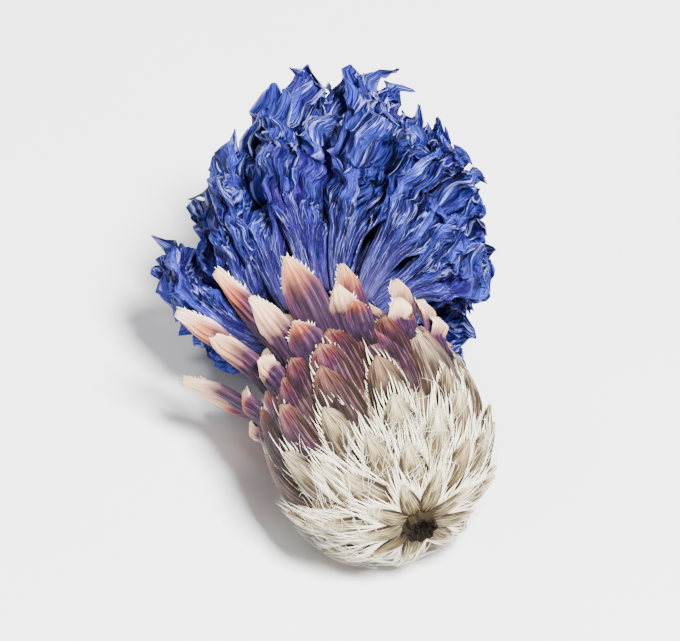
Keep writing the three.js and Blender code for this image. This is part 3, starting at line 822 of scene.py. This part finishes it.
# Ragged pale teeth round each tip: short blades from the last fifth of both edges and round the end,
# which lean forwards towards the tip and curl as the square of their length.
def bractTeeth(number):
    seed, half, line = bractLines(number)
    tooth = np.arange(bracts["teeth"])[None, :, None]
    side = np.where(tooth % 2, 1.0, -1.0)
    first, last = bracts["firstTooth"], bracts["lastTooth"]
    along = (tooth // 2) / (bracts["teeth"] // 2 - 1)
    first = first + (last - first) * along
    toothSeed = seed * 23 + tooth
    step = np.linspace(0, 1, 5)
    length = 0.15 + 0.08 * draw(toothSeed, 31)
    spread = np.radians(42 - 38 * along + 14 * draw(toothSeed, 32))
    _, width, hood, sway, lean, twist = strapForm(seed, first)
    middle, heading, across, face = linePlace(line, first, twist)
    outward = -bracts["fold"] * hood - lean + sway
    sideways = side * (half * width * (1 - 0.16 * hood) * 0.98 + length * np.sin(spread) * step)
    curl = 0.1 * draw(toothSeed, 33) * step**2 - 0.25 * length * step**2
    path = middle + across * sideways[..., None] - face * (outward + curl)[..., None]
    path = pressed(path + heading * (length * np.cos(spread) * step)[..., None])
    wide = (0.06 + 0.02 * draw(toothSeed, 34)) * np.clip(1 - step, 0.04, 1) ** 0.8
    return strands(path, face, wide, 0.35, 4, draw(toothSeed, 35))


def bractMaterial():
    material, tree = startMaterial("mauve bract", Roughness=0.62, Specular_IOR_Level=0.2)
    wander = rise(noise(sheetPlace(tree, 3, 5), 1.0, 3.0), 0.2, 0.8, -0.07, 0.07)
    lengthwise = mathNode("ADD", sheetAxis(tree, "Y"), wander)
    lengthwise = mathNode("ADD", lengthwise, rise(attribute(tree, "tone"), -1, 1, -0.07, 0.07))
    # Nearly black at the foot: the bracts' own maroon, deepened as painted shade in the gaps between their
    # feet.
    colour = ramp(
        lengthwise,
        (0.0, 20, 11, 14),
        (0.16, 26, 14, 26),
        (0.36, 40, 20, 44),
        (0.6, 50, 22, 50),
        (0.72, 98, 40, 44),
        (0.83, 196, 104, 66),
        (0.92, 236, 176, 132),
        (1.0, 250, 228, 200),
    )
    pale = mixed(rise(lengthwise, 0.7, 0.8), (132, 84, 116), (252, 228, 204))
    margin = rise(fromMiddle(tree), 0.7, 1.0, 0.0, 0.7)
    hem = mathNode("MULTIPLY", margin, rise(lengthwise, 0.5, 0.75, 0.2, 1.0))
    colour = mixed(hem, colour, pale)
    streaks = noise(sheetPlace(tree, 30, 2.2), 1.0, 4.0)
    colour = mixed(rise(streaks, 0.45, 0.62, 0.0, 0.75), colour, (50, 28, 52), "MULTIPLY")
    colour = mixed(rise(streaks, 0.42, 0.3, 0.0, 0.34), colour, (146, 98, 146))
    # Some bracts have dried nearly white towards the tip
    whitened = rise(attribute(tree, "whitening"), -0.2, 0.7)
    whitened = mathNode("MULTIPLY", whitened, rise(lengthwise, 0.64, 0.92))
    return finished(material, mixed(whitened, colour, (240, 204, 166)), streaks, 0.8, 0.00012)


def makeBracts(skin, comb):
    numbers = range(len(bracts["rings"]))
    straps = [bractShapes(number) for number in numbers]
    makePiece("bract_straps", straps, bractMaterial(), "inner_bracts")
    makePiece("bract_shoulder", [shoulderShape()], skin, "inner_bracts")
    makePiece("bract_teeth", [bractTeeth(number) for number in numbers], comb)


# Ray florets: crumpled trumpets on a dense heart

tuft = {
    "heartHeight": 11.3,
    "heartRadius": 2.7,
    "heartHalfHeight": 1.9,
    "heartShare": 0.9,  # size of the heart that shows, against the solids' one
    "neck": [(0, 5.3), (1.35, 5.3), (1.35, 9.0)],  # radius and height of what it stands on
    "rootSunk": 0.82,  # the share of the heart's radius at which a floret is rooted
    # Whorls from the lowest to the highest: count, where they stand as an angle from the axis, angles
    # at which they leave and end, length, lobes, and half the width of the fan that they spread to.
    "whorls": [(11, 76, 44, 70, 8.2, 7, 3.3), (10, 56, 26, 40, 9.8, 7, 3.2), (8, 44, 8, 14, 10.8, 6, 2.6)],
    "squeeze": 0.1,
    "tightTurn": 224,  # the side on which the tuft has closed up
    "tightness": 0.8,  # and by what share its florets lean out less there
    "hangLean": 16,  # how much further over they leave the heart where they hang
    "hangBend": 50,  # and how much further they bend
    "throat": 0.3,  # share of the length that is tube
    "notch": 0.84,  # share where the lobes part
    "tubeHalf": 0.4,
    "throatHalf": 0.85,
    "openHalf": 150,  # degrees round the trumpet to each side of its middle that it covers
    "fill": 0.78,  # share of the fan's half-width that the trumpet's rim has
    "deep": 0.75,  # how deep the tube's ellipse is against its width
    "flat": 0.3,  # and how deep the dried limb's is
    "crumple": (0.08, 0.46, 0.17),  # height of its pleats, folds and fine folds
    "sheetThickness": 0.06,
    # Waves that crumple the tuft as a whole: their directions, and their height slow and fast
    "waves": ((1.9, 0.7, 1.1), (-0.8, 1.7, 1.5), (1.2, -1.4, 0.9)),
    "slowWave": 0.17,
    "fastWave": 0.08,
    # The side on which it has dried pressed in: where that starts, and how far on it goes
    "sideTurn": 0,
    "sideStart": 5.4,
    "sideRoom": 3.4,
    "topLightFrom": 12.5,  # how far up and to the front lobe edges start to be painted paler, as painted highlight on lit edges
    "rows": 48,  # of a lobe's grid
    "columns": 12,
}


# The lines of a whorl's florets, as in the solids, with their seeds as (count, 1, 1, 1).
def trumpetLines(number):
    count, polarAngle, start, end, length, _, _ = tuft["whorls"][number]
    index = np.arange(count)
    seed = 100 + number * 30 + index
    turn = 360 / count * (index + 0.37 * number + 0.2 * draw(seed, 1))
    closed = np.maximum(0, np.cos(np.radians(turn - tuft["tightTurn"]))) ** 2
    squeeze = 1 - tuft["squeeze"] * downness(turn) - tuft["tightness"] * closed
    lift = np.radians(90 - polarAngle)
    rootRadius = tuft["rootSunk"] * tuft["heartRadius"] * np.cos(lift)
    rootHeight = tuft["heartHeight"] + tuft["rootSunk"] * tuft["heartHalfHeight"] * np.sin(lift)
    line = bendLine(
        polar(rootRadius, turn, rootHeight),
        turn,
        (start + 5 * draw(seed, 2)) * squeeze + tuft["hangLean"] * hanging(turn),
        (end + 9 * draw(seed, 3)) * squeeze + tuft["hangBend"] * hanging(turn),
        length * (1 + 0.08 * draw(seed, 4)),
        14 * draw(seed, 5),
        lie["slumpDrift"],
    )
    return seed[:, None, None, None], line


# A trumpet's section is a flattened ellipse: its radius, which grows slowly along the tube and then
# about evenly to the rim, how flat it is, and 1 or -1 for the side to which it opens.
def trumpetSection(floret, share, limb, spread):
    radius = tuft["throatHalf"] - tuft["tubeHalf"]
    radius = tuft["tubeHalf"] + radius * np.minimum(share / tuft["throat"], 1)
    radius = radius + (tuft["fill"] * spread - tuft["throatHalf"]) * limb**0.8
    flat = tuft["deep"] + (tuft["flat"] + 0.12 * draw(floret, 22) - tuft["deep"]) * smooth(limb * 2.2)
    return radius, flat, np.where(draw(floret, 23) > 0, 1.0, -1.0)


# A place on the ellipse, sideways and outwards: radius times the sine and flat times the cosine of the
# angle round it, moved along the ellipse's normal by the crumpling.
def ellipsePlace(section, angle, crumple):
    radius, flat, facing = section
    normal = unit(np.stack(np.broadcast_arrays(flat * np.sin(angle), -facing * np.cos(angle)), -1))
    sideways = radius * np.sin(angle) + crumple * normal[..., 0]
    return sideways, -facing * radius * flat * np.cos(angle) + crumple * normal[..., 1]


# A place on a free lobe, also sideways and outwards: its middle leaves the ellipse as t^1.6, and its
# section slants with the ellipse there, twists, and rolls in its edges to an arc.
def lobePlace(own, section, middle, aside, free, halfWidth, rucked):
    radius, flat, facing = section
    bend = free**1.6
    sideways = radius * np.sin(middle) * (1 - 0.12 * bend) + 0.5 * draw(own, 10) * bend
    outwards = (0.75 * draw(own, 12) + 0.2 * facing * np.cos(middle)) * bend
    outwards = outwards - facing * radius * flat * np.cos(middle)
    slant = np.arctan2(facing * flat * np.sin(middle), np.cos(middle))
    slant = slant + np.radians(70 * draw(own, 24)) * free
    rolled = np.radians(75 + 45 * draw(own, 25)) * smooth(free * 1.4) + 0.05
    x = halfWidth * np.sin(rolled * aside) / rolled
    y = halfWidth * (1 - np.cos(rolled * aside)) / rolled
    y = y * np.where(draw(own, 26) > -0.3, 1.0, -1.0) * facing + rucked
    sideways = sideways + x * np.cos(slant) - y * np.sin(slant)
    return sideways, outwards + x * np.sin(slant) + y * np.cos(slant)


# One whorl's trumpets, each lobe of them its own closed sheet that shares its edges with its
# neighbours up to the notch. Past the notch it narrows as (1 - t^3.2)^0.65 and parts from the ellipse.
# Crumpling is ridged noise, 1 - |noise|, drawn out lengthwise.
def trumpetShapes(number):
    floret, line = trumpetLines(number)
    lobes, spread = tuft["whorls"][number][-2:]
    lobe = np.arange(lobes)[None, :, None, None]
    own = floret * 11 + lobe
    aside = np.linspace(-1, 1, tuft["columns"])
    covered = np.radians(tuft["openHalf"])
    middle = covered * (2 * (lobe + 0.5) / lobes - 1)
    halfAngle = covered / lobes
    reach = 0.95 - 0.12 * (middle / np.pi) ** 2 + 0.05 * draw(own, 9)
    notch = tuft["notch"] - 0.05 * (middle / np.pi) ** 2 + 0.03 * draw(floret, 8)
    share = np.linspace(0, 1, tuft["rows"])[:, None] * reach
    free = np.clip((share - notch) / (reach - notch), 0, 1)
    limb = np.clip((share - tuft["throat"]) / (1 - tuft["throat"]), 0, 1)
    narrowing = np.clip(1 - free**3.2, 0.06, 1) ** 0.65 * (1 - 0.12 * (1 - np.exp(-14 * free)))
    angle = middle + halfAngle * aside * narrowing

    pleat = np.cos(np.pi * aside * narrowing)
    folds = 1 - 2 * np.abs(ruffle(angle * 2.7 + 1.2 * share, share * 4.0, floret + 0.5))
    fine = 1 - 2 * np.abs(ruffle(angle * 6.2 + 2 * share, share * 10, floret + 0.25))
    pleatHeight, foldHeight, fineHeight = tuft["crumple"]
    crumple = smooth(limb * 4) * (pleatHeight * pleat + foldHeight * folds + fineHeight * fine)
    rucked = (0.2 * folds + 0.1 * fine) * (1 - 0.7 * free)

    section = trumpetSection(floret, share, limb, spread)
    halfWidth = 0.74 * section[0] * halfAngle * narrowing
    joined = ellipsePlace(section, angle, crumple)
    parted = lobePlace(own, section, middle, aside, free, halfWidth, rucked)
    parting = smooth(free / 0.4)
    sideways, outwards = [a * (1 - parting) + b * parting for a, b in zip(joined, parted)]
    outwards = outwards + 1.1 * draw(floret, 7) * (sideways / spread) ** 2
    twist = 24 * draw(floret, 6) + 26 * draw(floret, 27) * smooth(limb)
    spine, _, across, face = linePlace(line, share, twist)
    spot = spine + across * sideways[..., None] + face * outwards[..., None]
    spot = pressed(gathered(crumpled(spot, smooth(limb * 2))))
    upFront = spot @ np.array([0.0, -0.69, 0.69])
    values = {
        "tone": draw(floret, 28),
        # The height on the folds, which paints shade in the hollows and highlight on the crests
        "crest": 0.5 + 0.5 * (0.3 * pleat + 0.45 * folds + 0.4 * fine),
        "rim": np.abs(aside) * smooth(free * 4),
        # Bleaching at random, and more towards the top front, where it stands for painted highlight on lit
        # edges
        "bleaching": draw(own, 29) + smooth((upFront - tuft["topLightFrom"]) / 2),
    }
    thickness = tuft["sheetThickness"] * (1 - 0.35 * np.abs(aside) ** 3)
    return closedSheets(spot, thickness, angle / covered, share, **values)


# Brings points that stand out too far on the pressed side back to it: past its start, the distance
# grows as room (1 - e^-d).
def gathered(points):
    direction = polar(1.0, tuft["sideTurn"], 0.0)
    room = tuft["sideRoom"]
    past = np.maximum(points @ direction - tuft["sideStart"], 0)
    return points + (room * (1 - np.exp(-past / room)) - past)[..., None] * direction


# Crumples the tuft as a whole: slow sine waves along three slanted directions, and faster ones on
# them, move each point aside by up to about half a millimetre times the given amount.
def crumpled(points, amount):
    shift = np.zeros_like(points)
    for number, wave in enumerate(tuft["waves"]):
        phase = points @ np.array(wave) + 2.1 * number
        slow = np.stack([np.sin(phase), np.cos(1.3 * phase), np.sin(0.7 * phase + 1)], -1)
        fast = np.stack([np.sin(3.1 * phase), np.cos(2.7 * phase), np.sin(3.7 * phase)], -1)
        shift = shift + tuft["slowWave"] * slow + tuft["fastWave"] * fast
    return points + shift * amount[..., None]


# The heart: a neck, and the upper part of an ellipse turned round the axis, dented by noise.
def heartShape():
    angle = np.radians(np.linspace(-42, 90, 20))
    radius = tuft["heartShare"] * tuft["heartRadius"] * np.cos(angle)
    height = tuft["heartHeight"] + tuft["heartShare"] * tuft["heartHalfHeight"] * np.sin(angle)
    profile = np.concatenate([tuft["neck"], np.stack([radius, height], -1)])
    profile[-1, 0] = 0

    def displace(points, turn, share):
        return points * (1 + 0.05 * ruffle(turn / 12, share * 6, 44)[..., None] * np.array([1, 1, 0.2]))

    # Its fold height of 0.3 paints the heart nearly black, as painted shade deep inside the tuft.
    return turnedShape(profile, 60, displace, tone=0.0, crest=0.3, rim=0.0, bleaching=0.0)


def petalMaterial():
    material, tree = startMaterial("dried petal", Roughness=0.55, Specular_IOR_Level=0.12)
    crest = attribute(tree, "crest")
    creases = ridged(sheetPlace(tree, 16, 2.4), 3.0, 0.45, 0.05)
    wrinkles = ridged(sheetPlace(tree, 50, 8), 2.0, 0.4, 0.12)
    mottle = noise(bodyPlace(tree), 420.0, 4.0)
    colour = ramp(
        mathNode("ADD", sheetAxis(tree, "Y"), rise(mottle, 0.2, 0.8, -0.08, 0.08)),
        (0.0, 86, 66, 112),
        (0.2, 34, 17, 78),
        (0.4, 8, 5, 50),
        (0.8, 5, 6, 54),
        (1.0, 7, 12, 72),
    )
    # Painted shade in the crumple's hollows and painted highlight on its crests, both by the height of the
    # folds
    colour = mixed(rise(crest, 0.58, 0.3, 0.0, 0.97), colour, (2, 2, 16))
    colour = mixed(rise(crest, 0.68, 1.0, 0.0, 0.6), colour, (74, 84, 216))
    # Then the fine wrinkles and the creases, painted lighter as painted highlights along their ridges; the
    # same noise makes the bump.
    colour = mixed(rise(wrinkles, 0.35, 1.0, 0.0, 0.3), colour, (70, 84, 200))
    colour = mixed(rise(creases, 0.5, 1.0, 0.0, 0.72), colour, (152, 160, 246))
    violet = rise(attribute(tree, "tone"), -1, 1, 0.05, 0.5)
    colour = mixed(mathNode("MULTIPLY", rise(mottle, 0.5, 0.72), violet), colour, (58, 34, 140))
    # Paler lobe edges: bleached at random, and a painted highlight on the edges high at the front.
    paling = rise(attribute(tree, "bleaching"), -0.3, 1.3, 0.0, 0.6)
    edge = mathNode("MULTIPLY", rise(attribute(tree, "rim"), 0.76, 1.0), paling)
    colour = mixed(edge, colour, (176, 182, 232))
    return finished(material, colour, mathNode("MULTIPLY_ADD", creases, 1.6, wrinkles), 0.9, 0.00016)


def makeTuft():
    petal = petalMaterial()
    shapes = [[trumpetShapes(number)] for number in range(len(tuft["whorls"]))]
    shapes[-1].append(heartShape())
    for name, whorl in zip(("tuft_outer", "tuft_middle", "tuft_inner"), shapes):
        makePiece(name, whorl, petal, "ray_florets")


# Disc florets: slim tubes with five lobes and a dark column of anthers

disc = {
    "foot": 10.4,
    "length": 5.6,
    "count": 14,
    "spread": 0.92,  # how far from the bore's middle the outer ones stand
    "rootShare": 0.72,  # and the share of it that their roots do
    "goldenAngle": 137.5,
    "tubeHalf": 0.13,
    "throatHalf": 0.21,
    "tubeEnd": 0.86,
    "lobes": 5,
    "lobeLength": 0.95,
    "lobeHalf": 0.085,
    "lobeThickness": 0.05,
    "mouth": 0.84,  # share of the length at which lobes and anthers leave the tube
    "columnLength": 2.7,
    "columnHalf": 0.11,
}


# Each floret follows the bore's slumped line beside its middle, at a place of a sunflower spiral:
# the root of its number outwards and the golden angle on round.
def discLines():
    number = np.arange(disc["count"])
    ring = disc["spread"] * np.sqrt((number + 0.5) / disc["count"])
    turn = disc["goldenAngle"] * number
    return number, bendLine(
        polar(disc["rootShare"] * ring, turn, disc["foot"] + 0 * ring),
        turn,
        0 * ring,
        7 * ring + 5 * draw(number, 81),
        disc["length"] * (1 - 0.12 * ring + 0.04 * draw(number, 82)),
        0 * ring,
        lie["slumpDrift"] / 2,
    )


# The tubes swell at the throat by a smoothed step. Their lobes narrow as the square of their length
# and turn out as its power of 1.4.
def discShapes():
    number, line = discLines()
    share = np.linspace(0, disc["tubeEnd"], 24)[None]
    middle, _, across, face = linePlace(line, share)
    swell = disc["throatHalf"] - disc["tubeHalf"]
    swell = disc["tubeHalf"] + swell * smooth((share - 0.55) / 0.3)
    tubes = closedTubes(middle, swell, swell, across, face, 10, tone=draw(number[:, None], 83))
    lobe = np.arange(disc["lobes"])[None, :, None, None]
    own = number[:, None, None, None] * 7 + lobe
    step = np.linspace(0, 1, 12)[:, None]
    aside = np.linspace(-1, 1, 5)
    share = disc["mouth"] + disc["lobeLength"] * step / disc["length"] * (1 + 0.2 * draw(own, 84))
    middle, _, across, face = linePlace(line, share, 360 / disc["lobes"] * lobe + 20)
    out = disc["throatHalf"] + 0.5 * step**1.4 * (0.6 + 0.4 * draw(own, 85)) - 0.05 * aside**2
    sideways = disc["lobeHalf"] * (1 - 0.9 * step**2) * aside
    spot = middle + across * sideways[..., None] - face * out[..., None]
    lobes = closedSheets(spot, disc["lobeThickness"], aside, step, tone=draw(own, 86))
    return [tubes, lobes]


# The columns curve outwards as the square of their length, and swell a little under their tips.
def antherShapes():
    number, line = discLines()
    which = number[:, None]
    step = np.linspace(0, 1, 16)
    share = disc["mouth"] + disc["columnLength"] * step / disc["length"] * (1 + 0.15 * draw(which, 87))
    middle, _, across, face = linePlace(line, share)
    path = middle - face * (0.45 * step**2 * (0.7 + 0.5 * draw(which, 88)))[..., None]
    half = disc["columnHalf"] + 0.03 * np.sin(np.pi * step) - 0.07 * step**6
    return [closedTubes(path, half, half, across, face, 8, tone=draw(which, 89))]


def discMaterial(name, foot, middle, tip):
    material, tree = startMaterial(name, Roughness=0.6, Specular_IOR_Level=0.2)
    grain = noise(bodyPlace(tree), 1800.0)
    colour = ramp(sheetAxis(tree, "Y"), (0.0, *foot), (0.6, *middle), (1.0, *tip))
    colour = mixed(rise(grain, 0.4, 0.8, 0.0, 0.5), colour, (34, 20, 60))
    return finished(material, colour, grain, 0.4, 0.00005)


def makeDisc():
    corolla = discMaterial("disc corolla", (190, 168, 200), (146, 100, 184), (176, 128, 214))
    column = discMaterial("anther column", (96, 58, 130), (118, 72, 150), (238, 224, 206))
    makePiece("disc_corollas", discShapes(), corolla, "disc_florets")
    makePiece("disc_anthers", antherShapes(), column)


# Stem stub: ribbed, with a torn pithy end

stub = {
    "half": 0.66,
    "ribs": 8,
    "ribHeight": 0.07,
    "foot": -0.35,
    "length": 1.0,
    "torn": 0.09,
    # Radius, and height above the foot, from the hollow pith over the rim and up the side
    "hollow": [(0, 0.22), (0.25, 0.2), (0.42, 0.12), (0.54, 0.02), (0.62, 0)],
    "side": [(0.66, 0.05), (0.66, 0.35), (0.66, 0.65)],
}


# The profile is filled up to 40 steps, the ribs are a cosine, and noise tears the end.
def stubShape():
    corners = [*stub["hollow"], *stub["side"], (stub["half"], stub["length"]), (0, stub["length"])]
    radius, height = np.array(corners).T
    steps = np.linspace(0, len(corners) - 1, 40)
    index = np.arange(len(corners))
    profile = np.stack([np.interp(steps, index, radius), np.interp(steps, index, height + stub["foot"])], -1)

    def displace(points, turn, share):
        ribs = stub["ribHeight"] / stub["half"] * np.cos(np.radians(stub["ribs"] * turn))
        ribs = 1 + ribs * smooth(share * 6)
        torn = stub["torn"] * ruffle(turn / 15, share * 30, 47) * (share < 0.55)
        points = points * np.stack(np.broadcast_arrays(ribs, ribs, 1.0), -1)
        return points + torn[..., None] * np.array([0, 0, 1])

    return turnedShape(profile, 96, displace, tone=0.0)


def stubMaterial():
    material, tree = startMaterial("stem", Roughness=0.85, Specular_IOR_Level=0.1)
    fibres = noise(sheetPlace(tree, 60, 2), 1.0, 3.0)
    colour = ramp(
        sheetAxis(tree, "Y"),
        (0.0, 6, 4, 2),
        (0.3, 12, 8, 5),
        (0.42, 22, 16, 10),
        (0.56, 34, 27, 18),
        (1.0, 58, 50, 34),
    )
    colour = mixed(rise(fibres, 0.5, 0.75, 0.0, 0.14), colour, (120, 96, 66))
    return finished(material, colour, fibres, 0.6, 0.00007)


def makeStub():
    makePiece("stem_end", [stubShape()], stubMaterial(), "stem_stub")


makeCamera()
makeStudio()
skin = skinMaterial()
comb = combMaterial()
makeInvolucre(skin, comb)
makeBracts(skin, comb)
makeTuft()
makeDisc()
makeStub()
